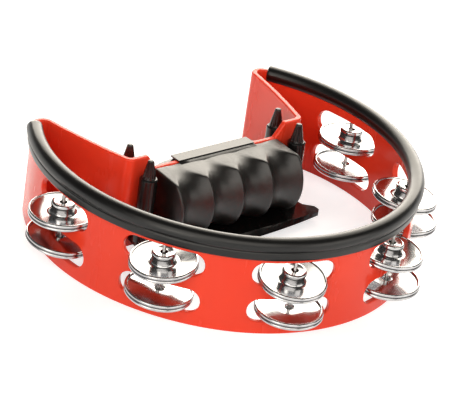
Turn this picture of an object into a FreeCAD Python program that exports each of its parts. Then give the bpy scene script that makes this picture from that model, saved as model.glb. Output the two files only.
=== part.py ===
"""Hand tambourine: a crescent shell with twelve jingle slots, a rim bead and a two-part grip.

Frame: millimetres, +Z up, the shell stands on Z = 0.  The open recess behind the grip faces +Y, the
middle of the long bow faces -Y, and the part is the same left and right of the YZ plane.
"""
import FreeCAD
import Part
import math
import os
import re
import Sketcher
from FreeCAD import Placement, Rotation, Vector

SIZES = (
    # the shell, all plan sizes measured from the middle of the bow's own circle
    ("half_width", 128.8, "half the outer width of the shell, nominally a 10 inch one"),
    ("bow_depth", 138.9, "middle of the shell's plan to the outside of the bow"),
    ("blend_angle", 45.0, "where the bow's front arc meets its side arcs"),
    ("wall", 4.0, "thickness of the shell"),
    ("shell_height", 67.5, "height of the shell"),
    ("horn_angle", 124.2, "where each side arc ends in a horn"),
    ("horn_radius", 6.2, "mid-wall radius of the horn's turn"),
    ("recess_start", 9.0, "slant of the recess wall at the horn"),
    ("recess_end", 17.0, "slant of the recess wall at the grip"),
    ("corner_radius", 4.5, "mid-wall radius where the recess wall meets the cross wall"),
    ("cross_place", 10.0, "middle of the cross wall, behind the middle of the plan"),
    ("edge_round", 1.2, "rounding of the shell's bare edges"),
    ("dip_width", 52.0, "half width of the low part of the cross wall"),
    ("dip_slope", 8.0, "width of each slope down to the low part"),
    ("dip_depth", 10.5, "how far the cross wall dips under the grip"),
    # jingle slots
    ("station_pitch", 87.0, "distance between stations along the mid-wall"),
    ("slot_length", 56.8, "length of a slot"),
    ("slot_height", 16.8, "height of a slot"),
    ("slot_bevel", 0.6, "bevel round both mouths of a slot"),
    ("mouth_start", 16.0, "start of a slot's cut, inside the mid-wall"),
    ("mouth_length", 24.0, "length of a slot's cut"),
    ("slot_low", 17.5, "height of the middle of the lower slots"),
    ("slot_high", 44.5, "height of the middle of the upper slots"),
    # jingles and their pins
    ("pin_radius", 1.2, "jingle pin"),
    ("pin_fit", 0.05, "clearance round a pin in the wall"),
    ("pin_foot", 5.0, "height of the blind end of a pin's hole"),
    ("pin_length", 55.0, "length of a pin"),
    ("jingle_radius", 23.0, "outer radius of a jingle"),
    ("rim_thick", 2.3, "thickness of the rolled rim of a jingle"),
    ("metal", 0.8, "sheet metal of a jingle"),
    ("cup_shoulder", 0.6, "web of a cup below the top of its rim, beside the rim"),
    ("cup_dish", 2.3, "web of a cup below the top of its rim, beside the hub"),
    ("tray_shoulder", 1.2, "recess in the back of a tray, beside the rim"),
    ("tray_dish", 0.7, "recess in the back of a tray, beside the hub"),
    ("hub_rise", 6.0, "hub above the top of the rim"),
    ("hub_dish", 0.8, "dish in the top of the hub"),
    ("cup_radius", 8.0, "hub of a cup, the jingle that caps its pair"),
    ("nest_gap", 0.6, "gap between the hubs of a cup and of the tray that nests in it"),
    ("pair_gap", 0.3, "gap between the rims of a pair"),
    ("hub_play", 1.4, "clearance of the hub's hole round the pin"),
    ("rest_gap", 0.3, "gap between a resting pair and its slot"),
    # rim bead
    ("bead_radius", 5.6, "radius of the rolled bead"),
    ("bead_rise", 3.1, "crest of the bead above the shell"),
    ("bead_end", 123.2, "where the bead stops, before the horn"),
    ("bead_fit", 0.05, "clearance of the bead on the shell"),
    ("skirt", 1.8, "thickness of the bead's skirts"),
    ("skirt_out", 11.9, "drop of the outer skirt below the shell's edge"),
    ("skirt_in", 6.0, "drop of the inner skirt below the shell's edge"),
    # grip, finger side, depths taken from the front face of the cross wall
    ("grip_half", 54.0, "half length of the finger pad"),
    ("finger_pitch", 26.0, "distance between finger grooves"),
    ("finger_count", 4, "number of finger grooves"),
    ("pad_reach", 25.0, "depth of the finger pad's top"),
    ("pad_slope", 1.2, "fall of the finger pad's top towards its front"),
    ("pad_foot", 16.0, "depth of the finger pad's foot"),
    ("ridge_reach", 34.3, "depth of the finger ridges"),
    ("ridge_height", 34.0, "height at which the ridges stand out most"),
    ("ridge_upper", 30.2, "radius of the ridges above that height"),
    ("ridge_lower", 26.2, "radius of the ridges below that height"),
    ("groove_radius", 16.5, "section radius of a finger groove"),
    ("groove_floor", 23.4, "radius of the floor of a finger groove about its core"),
    ("groove_height", 33.6, "height of the core of the grooves"),
    ("groove_depth", 4.8, "depth of the core of the grooves"),
    # grip, palm side
    ("palm_half", 50.0, "half length of the palm pad"),
    ("palm_edge", 1.0, "thickness of the palm pad at its ends"),
    ("palm_swell", 11.5, "thickness of the palm pad at its middle"),
    ("palm_round", 7.0, "rounding of the palm pad, above and below"),
    ("palm_drop", 4.5, "drop of the palm pad's top below the finger pad's"),
    ("back_plate", 2.5, "thickness of the bracket's plate"),
    ("cap_half", 33.0, "half length of the cap over the cross wall"),
    ("cap_thick", 1.2, "thickness of the cap"),
    ("cap_depth", 9.0, "depth of the cap from front to back"),
    ("wing_drop", 2.5, "drop of the bracket's wings below the cap"),
    ("arm_top", 50.0, "height of the bracket's arms"),
    ("arm_width", 8.0, "width of an arm"),
    # base plate, posts and pegs
    ("plate_top", 9.0, "height of the top of the base plate"),
    ("plate_thick", 3.0, "thickness of the base plate"),
    ("plate_half", 69.0, "half width of the base plate at the cross wall"),
    ("plate_waist", 72.0, "half width of the base plate where its front corners begin"),
    ("plate_ear", 6.0, "how far each front corner stands out"),
    ("ear_depth", 17.0, "depth where the front corners begin"),
    ("plate_front", 31.0, "depth of the base plate at its front corners"),
    ("top_bow", 1.0, "bow of the front of the plate's top"),
    ("foot_bow", 6.0, "bow of the front of the plate's underside"),
    ("post_radius", 6.25, "radius of a post"),
    ("post_place", 65.0, "distance of the posts from the middle plane"),
    ("front_post", 8.5, "front posts in front of the cross wall"),
    ("back_post", 10.8, "back posts behind the cross wall"),
    ("front_post_top", 56.4, "height of the front posts"),
    ("back_post_top", 57.4, "height of the back posts"),
    ("post_bevel", 0.8, "bevel on top of a post"),
    ("peg_foot", 4.85, "foot radius of a fluted peg"),
    ("peg_tip", 2.0, "tip radius of a fluted peg"),
    ("peg_height", 13.2, "height of a peg above its post"),
    ("flute_radius", 1.6, "radius of a peg's flutes"),
    ("flute_bite", 0.7, "depth of a peg's flutes"),
    ("flute_count", 8, "number of flutes round a peg"),
    ("peg_shank", 2.5, "radius of a peg's shank"),
    ("peg_plug", 8.0, "length of a peg's shank"),
    ("peg_fit", 0.05, "clearance round a peg's shank"),
    # screws through the cross wall
    ("screw_radius", 1.75, "shank of a grip screw"),
    ("screw_fit", 0.1, "clearance round a screw"),
    ("screw_length", 18.0, "length of a screw below its head"),
    ("screw_head", 3.5, "radius of a screw's head"),
    ("screw_head_thick", 2.2, "thickness of a screw's head"),
    ("screw_place", 28.0, "distance of the screws from the middle plane"),
    ("screw_low", 22.0, "height of the lower screws"),
    ("screw_high", 44.0, "height of the upper screws"),
)

# How each resting pair hangs: lean is the outer edge down, roll is the left end up, in degrees.
STATIONS = (
    # name, place in pitches from the bow's middle, then each pair's lean, roll and lift: upper, lower
    ("left_front", -0.5, (10.0, 0.0, 0.0), (2.0, 0.0, 0.0)),
    ("left_side", -1.5, (7.0, -2.0, 0.0), (2.0, 4.0, 1.4)),
    ("left_back", -2.5, (2.0, 1.0, 0.0), (-4.0, 5.0, 1.8)),
    ("right_front", 0.5, (6.0, 1.0, 0.0), (2.0, -1.0, 0.0)),
    ("right_side", 1.5, (7.0, 0.0, 0.0), (1.0, 0.0, 2.5)),
    ("right_back", 2.5, (2.0, 0.0, 0.5), (3.0, 0.0, 0.0)),
)

doc = FreeCAD.newDocument("tambourine")
sheet = doc.addObject("Spreadsheet::Sheet", "sizes")
for row, (alias, number, note) in enumerate(SIZES, 1):
    sheet.set(f"A{row}", alias)
    sheet.set(f"B{row}", str(number))
    sheet.setAlias(f"B{row}", alias)
    sheet.set(f"C{row}", note)
doc.recompute()
ALIASES = {alias for alias, number, note in SIZES}


def value(text):
    """The number that an expression in the sheet's names stands for."""
    return float(sheet.evalExpression(text))


def named(text):
    """The same expression as another object of the document has to write it."""
    return re.sub(r"[a-z_]+", lambda word: "sizes." + word[0] if word[0] in ALIASES else word[0], text)


def bind(item, **properties):
    """Tie properties of an object to expressions in the sheet's names."""
    for name, text in properties.items():
        item.setExpression(name, named(text))


# ---------------------------------------------------------------------------------------------------
# The shell's plan: a front arc and two side arcs, tangent where they meet
# ---------------------------------------------------------------------------------------------------
BLEND = math.radians(value("blend_angle"))
DEEPER = (value("bow_depth") - value("half_width")) / (math.sin(BLEND) + math.cos(BLEND) - 1)
FRONT_CENTRE = Vector(0, -DEEPER * math.cos(BLEND), 0)
SIDE_CENTRE = Vector(-DEEPER * math.sin(BLEND), 0, 0)
FRONT_ARC = value("bow_depth - wall / 2") + FRONT_CENTRE.y      # mid-wall radii
SIDE_ARC = value("half_width - wall / 2") - SIDE_CENTRE.x


def outward(angle):
    """Unit vector at an angle in degrees from -Y, turning towards +X."""
    turn = math.radians(angle)
    return Vector(math.sin(turn), -math.cos(turn), 0)


def mirror(point, side):
    """The point on the right or, with side -1, its twin on the left."""
    return Vector(side * point.x, point.y, point.z)


def station(place):
    """Bow centre, mid-wall radius and angle of a place counted in pitches from the bow's middle."""
    along = abs(place) * value("station_pitch")
    past = along - FRONT_ARC * BLEND
    side = math.copysign(1, place)
    if past < 0:
        return FRONT_CENTRE, FRONT_ARC, side * math.degrees(along / FRONT_ARC)
    angle = value("blend_angle") + math.degrees(past / SIDE_ARC)
    return mirror(SIDE_CENTRE, side), SIDE_ARC, side * angle


def station_point(place):
    """Mid-wall point of a station, from the middle of the plan."""
    centre, radius, angle = station(place)
    return centre + outward(angle) * radius


HORN_CENTRE = SIDE_CENTRE + outward(value("horn_angle")) * (SIDE_ARC - value("horn_radius"))
FRONT_REACH = value("jingle_radius") - min(station_point(row[1]).y for row in STATIONS)
BACK_REACH = HORN_CENTRE.y + value("horn_radius + wall / 2")
PLAN = Vector(0, (FRONT_REACH - BACK_REACH) / 2, 0)     # the plan's middle, from the part's origin
CROSS_FRONT = PLAN.y + value("cross_place - wall / 2")
CROSS_BACK = PLAN.y + value("cross_place + wall / 2")


def plan_arc(centre, radius, start, end, side=1):
    """Arc between two angles from -Y, as a curve for a sketch, on the right or the left."""
    low, high = sorted((math.radians(side * start - 90), math.radians(side * end - 90)))
    circle = Part.Circle(mirror(centre, side) + PLAN, Vector(0, 0, 1), radius)
    return Part.ArcOfCircle(circle, low, high)


def plan_loop(offset):
    """Closed plan of the shell, moved outwards from the mid-wall by offset."""
    blend, horn_end = value("blend_angle"), 270 - value("recess_start")
    start, end = 90 - value("recess_start"), 90 - value("recess_end")
    corner = value("corner_radius")
    leave = HORN_CENTRE + outward(horn_end) * value("horn_radius")
    # the recess wall bulges outwards, just so that its corner lands on the cross wall
    fall = leave.y - value("cross_place") - corner * (1 - math.cos(math.radians(end)))
    bulge = fall / (outward(start) - outward(end)).y
    recess_centre = leave - outward(start) * bulge
    corner_centre = recess_centre + outward(end) * (bulge - corner)
    curves = [plan_arc(FRONT_CENTRE, FRONT_ARC + offset, -blend, blend)]
    for side in (1, -1):
        curves += [
            plan_arc(SIDE_CENTRE, SIDE_ARC + offset, blend, value("horn_angle"), side),
            plan_arc(HORN_CENTRE, value("horn_radius") + offset, value("horn_angle"), horn_end, side),
            plan_arc(recess_centre, bulge - offset, end, start, side),
            plan_arc(corner_centre, corner - offset, 0, end, side),
        ]
    reach = Vector(corner_centre.x, corner_centre.y - corner + offset, 0)
    curves.append(Part.LineSegment(reach + PLAN, mirror(reach, -1) + PLAN))
    return curves


# ---------------------------------------------------------------------------------------------------
# Helpers that build bodies and sketches
# ---------------------------------------------------------------------------------------------------
ORIGIN = (-1, 1)            # a sketch's own origin point, and its two axes
ACROSS, UPRIGHT = -1, -2


def new_body(name):
    """An empty body with the sub-part's name."""
    body = doc.addObject("PartDesign::Body", name)
    body.Label = name
    return body


def origin_item(body, role):
    """A plane or an axis of a body's own origin."""
    return next(item for item in body.Origin.OriginFeatures if item.Role == role)


def new_sketch(body, name, plane="XY_Plane", move=None):
    """An empty sketch on one of the body's planes, moved in that plane's own frame."""
    sketch = body.newObject("Sketcher::SketchObject", name)
    sketch.AttachmentSupport = [(origin_item(body, plane), "")]
    sketch.MapMode = "FlatFace"
    if move:
        sketch.AttachmentOffset = move
    return sketch


def hold(sketch, kind, geometry, point, text):
    """Dimension a point from the sketch's origin, or put it on the axis where the text is zero."""
    if text == "0":
        axis = UPRIGHT if kind == "DistanceX" else ACROSS
        sketch.addConstraint(Sketcher.Constraint("PointOnObject", geometry, point, axis))
        return
    rule = Sketcher.Constraint(kind, *ORIGIN, geometry, point, value(text))
    index = sketch.addConstraint(rule)
    sketch.setExpression(f"Constraints[{index}]", named(text))


def outline(sketch, corners, arcs=None):
    """Closed outline through corners given as expressions.

    arcs maps a side, numbered as the corner it starts at, to its radius and its turn: 1 where the
    side turns left on its way, -1 where it turns right.
    """
    arcs = arcs or {}
    points = [Vector(value(across), value(up), 0) for across, up in corners]
    sides = []
    for number, start in enumerate(points):
        end = points[(number + 1) % len(points)]
        if number not in arcs:
            sides.append((sketch.addGeometry(Part.LineSegment(start, end)), 1, 2))
            continue
        text, turn = arcs[number]
        radius = value(text)
        chord = end - start
        middle = (start + end) / 2
        left = Vector(-chord.y, chord.x, 0).normalize()
        rise = math.sqrt(max(radius ** 2 - (chord.Length / 2) ** 2, 0))
        centre = middle + left * rise * turn
        first, last = (start, end) if turn > 0 else (end, start)
        low = math.atan2(first.y - centre.y, first.x - centre.x)
        high = math.atan2(last.y - centre.y, last.x - centre.x)
        curve = Part.ArcOfCircle(Part.Circle(centre, Vector(0, 0, 1), radius), low, high)
        ends = (1, 2) if turn > 0 else (2, 1)
        index = sketch.addGeometry(curve)
        sides.append((index, *ends))
    for number, (index, start, end) in enumerate(sides):
        follower = sides[(number + 1) % len(sides)]
        sketch.addConstraint(Sketcher.Constraint("Coincident", index, end, follower[0], follower[1]))
        hold(sketch, "DistanceX", index, start, corners[number][0])
        hold(sketch, "DistanceY", index, start, corners[number][1])
        if number in arcs:
            text = arcs[number][0]
            rule = sketch.addConstraint(Sketcher.Constraint("Radius", index, value(text)))
            sketch.setExpression(f"Constraints[{rule}]", named(text))


def discs(sketch, centres, radius):
    """Circles of one radius, given as an expression, about points of the sketch."""
    for centre in centres:
        index = sketch.addGeometry(Part.Circle(centre, Vector(0, 0, 1), value(radius)))
        rule = sketch.addConstraint(Sketcher.Constraint("Radius", index, value(radius)))
        sketch.setExpression(f"Constraints[{rule}]", named(radius))


def feature(body, kind, profile, **properties):
    """A PartDesign feature on a profile: plain values are set, texts are tied to the sheet."""
    item = body.newObject("PartDesign::" + kind, profile.Name + "_" + kind.lower())
    item.Profile = profile
    for name, setting in properties.items():
        if isinstance(setting, str) and name in ("Length", "Angle", "Radius", "TaperAngle"):
            bind(item, **{name: setting})
        else:
            setattr(item, name, setting)
    return item


def dress(body, kind, name, edges, **sizes):
    """Round or bevel edges of the body as it stands, chosen by a test on each edge."""
    doc.recompute()
    base = body.Tip
    names = [f"Edge{n}" for n, edge in enumerate(base.Shape.Edges, 1) if edges(edge)]
    item = body.newObject("PartDesign::" + kind, name)
    item.Base = (base, names)
    bind(item, **sizes)
    doc.recompute()
    return item


def facing(angle, centre, distance):
    """Offset that stands an XZ sketch upright, facing outwards at an angle of the bow."""
    turn = Rotation(Vector(0, 1, 0), angle)
    return Placement(Vector(centre.x, 0, -centre.y) + turn.multVec(Vector(0, 0, distance)), turn)


# ---------------------------------------------------------------------------------------------------
# Shell
# ---------------------------------------------------------------------------------------------------
def slot(sketch, height):
    """Round-ended slot, lying level across the sketch's upright axis."""
    half = value("slot_length - slot_height") / 2
    radius = value("slot_height / 2")
    level = value(height)
    up = Vector(0, radius, 0)
    ends = [Vector(-half, level, 0), Vector(half, level, 0)]
    quarter = math.pi / 2
    left = sketch.addGeometry(Part.ArcOfCircle(Part.Circle(ends[0], Vector(0, 0, 1), radius),
                                               quarter, 3 * quarter))
    right = sketch.addGeometry(Part.ArcOfCircle(Part.Circle(ends[1], Vector(0, 0, 1), radius),
                                                -quarter, quarter))
    top = sketch.addGeometry(Part.LineSegment(ends[1] + up, ends[0] + up))
    low = sketch.addGeometry(Part.LineSegment(ends[0] - up, ends[1] - up))
    for first, end, second, start in ((top, 2, left, 1), (left, 2, low, 1),
                                      (low, 2, right, 1), (right, 2, top, 1)):
        sketch.addConstraint(Sketcher.Constraint("Tangent", first, end, second, start))
    sketch.addConstraint(Sketcher.Constraint("Equal", left, right))
    rule = sketch.addConstraint(Sketcher.Constraint("Radius", left, radius))
    sketch.setExpression(f"Constraints[{rule}]", named("slot_height / 2"))
    hold(sketch, "DistanceX", left, 3, "-(slot_length - slot_height) / 2")
    hold(sketch, "DistanceX", right, 3, "(slot_length - slot_height) / 2")
    hold(sketch, "DistanceY", left, 3, height)
    hold(sketch, "DistanceY", right, 3, height)


def in_slot_band(edge):
    """Whether an edge is part of a slot's mouth: it is longer than those through the wall."""
    low = value("slot_low - slot_height / 2")
    high = value("slot_high + slot_height / 2")
    box = edge.BoundBox
    return edge.Length > value("2 * wall") and box.ZMin > low - 0.01 and box.ZMax < high + 0.01


def on_lip(edge):
    """Whether an edge runs along the shell's foot or its top, the low part of it included."""
    box = edge.BoundBox
    return box.ZMax < 0.01 or box.ZMin > value("shell_height - dip_depth") - 0.01


def make_shell():
    """The moulded shell with its slots, the low part of its cross wall and its pin holes."""
    body = new_body("frame_shell")
    plan = new_sketch(body, "shell_plan")
    for offset in (value("wall / 2"), -value("wall / 2")):
        plan.addGeometry(plan_loop(offset))
    feature(body, "Pad", plan, Length="shell_height")

    dip = new_sketch(body, "dip", "XZ_Plane", Placement(Vector(0, 0, -(CROSS_FRONT + CROSS_BACK) / 2),
                                                        Rotation()))
    outline(dip, [("-dip_width", "shell_height - dip_depth"), ("dip_width", "shell_height - dip_depth"),
                  ("dip_width + dip_slope", "shell_height"), ("dip_width + dip_slope", "shell_height + wall"),
                  ("-dip_width - dip_slope", "shell_height + wall"),
                  ("-dip_width - dip_slope", "shell_height")])
    feature(body, "Pocket", dip, Length="2 * wall", Midplane=True)

    dress(body, "Fillet", "lip_rounds", on_lip, Radius="edge_round")

    pockets = []
    for number, place in enumerate((0.5, 1.5, 2.5), 1):
        centre, radius, angle = station(place)
        move = facing(angle, centre + PLAN, radius - value("mouth_start"))
        mouths = new_sketch(body, f"slots_{number}", "XZ_Plane", move)
        slot(mouths, "slot_low")
        slot(mouths, "slot_high")
        pockets.append(feature(body, "Pocket", mouths, Length="mouth_length", Reversed=True))
    twins = body.newObject("PartDesign::Mirrored", "left_slots")
    twins.Originals = pockets
    twins.MirrorPlane = (origin_item(body, "YZ_Plane"), [""])
    body.Tip = twins

    dress(body, "Chamfer", "slot_bevels", in_slot_band, Size="slot_bevel")
    holes = new_sketch(body, "pin_holes", move=Placement(Vector(0, 0, value("pin_foot")), Rotation()))
    discs(holes, [station_point(row[1]) + PLAN for row in STATIONS], "pin_radius + pin_fit")
    feature(body, "Pocket", holes, Length="shell_height", Reversed=True)
    return body


SCREWS = [(side, height) for side in (-1, 1) for height in ("screw_low", "screw_high")]


def drill_screws(body, face, radius, length):
    """Holes for the grip screws, from a level face with Y = face towards -Y."""
    name = body.Label + "_screw_holes"
    holes = new_sketch(body, name, "XZ_Plane", Placement(Vector(0, 0, -face), Rotation()))
    discs(holes, [Vector(side * value("screw_place"), value(height), 0) for side, height in SCREWS], radius)
    feature(body, "Pocket", holes, Length=length, Reversed=True)


# ---------------------------------------------------------------------------------------------------
# Rim bead
# ---------------------------------------------------------------------------------------------------
def bead_section(body, name, angle, centre, radius):
    """Section of the bead across the wall, its origin at the wall's foot, its axis the bow's."""
    turn = Rotation(Vector(0, 1, 0), angle - 90)
    foot = centre + PLAN + outward(angle) * radius
    section = new_sketch(body, name, "XZ_Plane", Placement(Vector(foot.x, 0, -foot.y), turn))
    inner, outer = "wall / 2 + bead_fit", "wall / 2 + skirt"
    core = "shell_height + bead_rise - bead_radius"
    neck = f"{core} - sqrt(bead_radius ^ 2 - ({outer}) ^ 2)"
    outline(section, [
        (inner, "shell_height - skirt_out"), (outer, "shell_height - skirt_out"), (outer, neck),
        ("0", "shell_height + bead_rise"), (f"-({outer})", neck),
        (f"-({outer})", "shell_height - skirt_in"), (f"-({inner})", "shell_height - skirt_in"),
        (f"-({inner})", "shell_height + bead_fit"), (inner, "shell_height + bead_fit"),
    ], {2: ("bead_radius", 1), 3: ("bead_radius", 1)})
    axis = Part.LineSegment(Vector(-radius, 0, 0), Vector(-radius, value("shell_height"), 0))
    section.addGeometry(axis, True)
    return section


def make_bead():
    """The soft bead that grips the top of the bow from one horn to the other."""
    body = new_body("rim_bead")
    front = bead_section(body, "front_section", -value("blend_angle"), FRONT_CENTRE, FRONT_ARC)
    feature(body, "Revolution", front, ReferenceAxis=(front, ["Axis0"]), Angle="2 * blend_angle")
    side = bead_section(body, "side_section", value("blend_angle"), SIDE_CENTRE, SIDE_ARC)
    right = feature(body, "Revolution", side, ReferenceAxis=(side, ["Axis0"]), Angle="bead_end - blend_angle")
    twin = body.newObject("PartDesign::Mirrored", "left_side")
    twin.Originals = [right]
    twin.MirrorPlane = (origin_item(body, "YZ_Plane"), [""])
    body.Tip = twin
    return body


# ---------------------------------------------------------------------------------------------------
# Jingles and their pins
# ---------------------------------------------------------------------------------------------------
CUP_HUB = "cup_radius"
TRAY_HUB = "cup_radius - metal - nest_gap"
PAIR_PITCH = "rim_thick + pair_gap"
HUB_TOP = "rim_thick + hub_rise"
# underside of the web beside the hub and beside the rim, above the foot of the rim
CUP_WEB = ("rim_thick - cup_dish - metal", "rim_thick - cup_shoulder - metal")
TRAY_WEB = ("tray_dish", "tray_shoulder")


def make_jingle(name, hub, web, place):
    """A disc with a rolled rim and a hub, turned from sheet; its rim stands on its Z = 0."""
    body = new_body(name)
    section = new_sketch(body, name + "_section", "XZ_Plane")
    at_hub, at_rim = web
    hole, roll = "pin_radius + hub_play", "rim_thick / 2"

    def on_roll(height):
        """Corner on the inner side of the rolled rim, at a height."""
        return f"jingle_radius - {roll} - sqrt(({roll}) ^ 2 - ({height} - {roll}) ^ 2)", height

    outline(section, [
        (hole, f"{HUB_TOP} - hub_dish - metal"), (f"{hub} - metal", f"{HUB_TOP} - metal"),
        (f"{hub} - metal", at_hub), on_roll(at_rim), (f"jingle_radius - {roll}", "0"),
        ("jingle_radius", roll), (f"jingle_radius - {roll}", "rim_thick"), on_roll(f"{at_rim} + metal"),
        (hub, f"{at_hub} + metal"), (hub, HUB_TOP), (f"{hub} - metal", HUB_TOP),
        (hole, f"{HUB_TOP} - hub_dish"),
    ], {side: (roll, 1) for side in (3, 4, 5, 6)})
    feature(body, "Revolution", section, ReferenceAxis=(section, ["V_Axis"]), Angle=360.0)
    body.Placement = place
    return body


def pair_frame(place, height, rest, hub_down):
    """Where the pair's cup rests: leaning about its hub's hole, on the slot's edge or caught on the pin."""
    lean, roll, lift = rest
    centre, radius, angle = station(place)
    if lift:
        radius += value("hub_play - rest_gap")      # the hole's edge bears on the pin
    foot = centre + PLAN + outward(angle) * radius
    floor = value(height) - value("slot_height / 2")
    contact = value(CUP_HUB if hub_down else "jingle_radius")
    rise = lift + value("rest_gap") + value("wall / 2") * math.sin(math.radians(abs(lean)))
    rise += contact * math.sin(math.radians(abs(roll)))
    hole = value(HUB_TOP)
    turn = Rotation(Vector(0, 0, 1), angle)
    turn = turn * Rotation(Vector(1, 0, 0), lean) * Rotation(Vector(0, 1, 0), roll)
    if hub_down:
        turn = turn * Rotation(Vector(1, 0, 0), 180)
        pivot = foot + Vector(0, 0, floor + rise)
    else:
        pivot = foot + Vector(0, 0, floor + rise + value(PAIR_PITCH) + hole)
    return Placement(pivot - turn.multVec(Vector(0, 0, hole)), turn)


def make_jingles():
    """Two nested pairs on each pin, a tray in a cup: the upper pair hub up, the lower pair hub down."""
    jingles = []
    for name, place, upper_rest, lower_rest in STATIONS:
        upper = pair_frame(place, "slot_high", upper_rest, False)
        lower = pair_frame(place, "slot_low", lower_rest, True)
        for row, cup in (("upper", upper), ("lower", lower)):
            tray = Placement(cup.Base - cup.Rotation.multVec(Vector(0, 0, value(PAIR_PITCH))), cup.Rotation)
            jingles.append(make_jingle(f"jingle_{name}_{row}_cup", CUP_HUB, CUP_WEB, cup))
            jingles.append(make_jingle(f"jingle_{name}_{row}_tray", TRAY_HUB, TRAY_WEB, tray))
    return jingles


def make_pins():
    """A plain pin down the middle of the wall at each station."""
    pins = []
    for row in STATIONS:
        pin = doc.addObject("Part::Cylinder", "pin_" + row[0])
        bind(pin, Radius="pin_radius", Height="pin_length")
        pin.Placement = Placement(station_point(row[1]) + PLAN + Vector(0, 0, value("pin_foot")), Rotation())
        pins.append(pin)
    return pins


# ---------------------------------------------------------------------------------------------------
# Grip
# ---------------------------------------------------------------------------------------------------
GRIP_TOP = "shell_height - dip_depth"
DRIVE = "screw_length - wall - back_plate"      # how far a screw bites into the finger pad


def make_finger_pad():
    """Soft pad in front of the cross wall with four finger grooves between ridges."""
    body = new_body("finger_pad")
    section = new_sketch(body, "ridge_section", "YZ_Plane", Placement(Vector(CROSS_FRONT, 0, 0), Rotation()))
    outline(section, [
        ("0", "plate_top"), ("0", GRIP_TOP), ("-pad_reach", f"{GRIP_TOP} - pad_slope"),
        ("-ridge_reach", "ridge_height"), ("-pad_foot", "plate_top"),
    ], {2: ("ridge_upper", 1), 3: ("ridge_lower", 1)})
    feature(body, "Pad", section, Length="2 * grip_half", Midplane=True)
    groove = body.newObject("PartDesign::SubtractiveTorus", "finger_groove")
    bind(groove, Radius1="groove_floor + groove_radius", Radius2="groove_radius")
    groove.AttachmentSupport = [(origin_item(body, "YZ_Plane"), "")]
    groove.MapMode = "FlatFace"
    first_groove = -value("(finger_count - 1) / 2 * finger_pitch")
    core = Vector(CROSS_FRONT - value("groove_depth"), value("groove_height"), first_groove)
    groove.AttachmentOffset = Placement(core, Rotation())
    grooves = body.newObject("PartDesign::LinearPattern", "finger_grooves")
    grooves.Originals = [groove]
    grooves.Direction = (origin_item(body, "X_Axis"), [""])
    grooves.Occurrences = int(value("finger_count"))
    bind(grooves, Length="(finger_count - 1) * finger_pitch")
    body.Tip = grooves
    drill_screws(body, CROSS_FRONT, "screw_radius", DRIVE)
    return body


def make_palm_pad():
    """Soft pad behind the cross wall, swelling towards its middle."""
    body = new_body("palm_pad")
    face = CROSS_BACK + value("back_plate")
    section = new_sketch(body, "palm_section", "YZ_Plane", Placement(Vector(face, 0, 0), Rotation()))
    flat, top = "palm_swell - palm_round", f"{GRIP_TOP} - palm_drop"
    outline(section, [
        ("0", "plate_top"), (flat, "plate_top"), ("palm_swell", "plate_top + palm_round"),
        ("palm_swell", f"{top} - palm_round"), (flat, top), ("0", top),
    ], {1: ("palm_round", 1), 3: ("palm_round", 1)})
    feature(body, "Pad", section, Length="2 * palm_half", Midplane=True)
    trim = new_sketch(body, "palm_trim", "XY_Plane", Placement(Vector(0, face, 0), Rotation()))
    bow = "(palm_half ^ 2 + (palm_swell - palm_edge) ^ 2) / (2 * (palm_swell - palm_edge))"
    outline(trim, [
        ("-palm_half - wall", "palm_edge"), ("-palm_half", "palm_edge"), ("palm_half", "palm_edge"),
        ("palm_half + wall", "palm_edge"), ("palm_half + wall", "palm_swell + wall"),
        ("-palm_half - wall", "palm_swell + wall"),
    ], {1: (bow, -1)})
    feature(body, "Pocket", trim, Length="shell_height", Reversed=True)
    heads = new_sketch(body, "head_seats", "XZ_Plane", Placement(Vector(0, 0, -face), Rotation()))
    discs(heads, [Vector(side * value("screw_place"), value(height), 0) for side, height in SCREWS],
          "screw_head + screw_fit")
    feature(body, "Pocket", heads, Length="screw_head_thick + screw_fit")
    return body


def post_holes(body, name, centres, top):
    """Bevel the posts' tops and sink the holes for their pegs."""
    dress(body, "Chamfer", name + "_bevels",
          lambda edge: abs(edge.BoundBox.ZMin - value(top)) < 0.01 and edge.Closed, Size="post_bevel")
    holes = new_sketch(body, name + "_holes", move=Placement(Vector(0, 0, value(top)), Rotation()))
    discs(holes, centres, "peg_shank + peg_fit")
    feature(body, "Pocket", holes, Length="peg_plug + peg_fit")


def post_centres(away):
    """The two posts, left and right, at a distance from the plan's middle."""
    return [Vector(side * value("post_place"), away, 0) for side in (-1, 1)]


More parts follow.
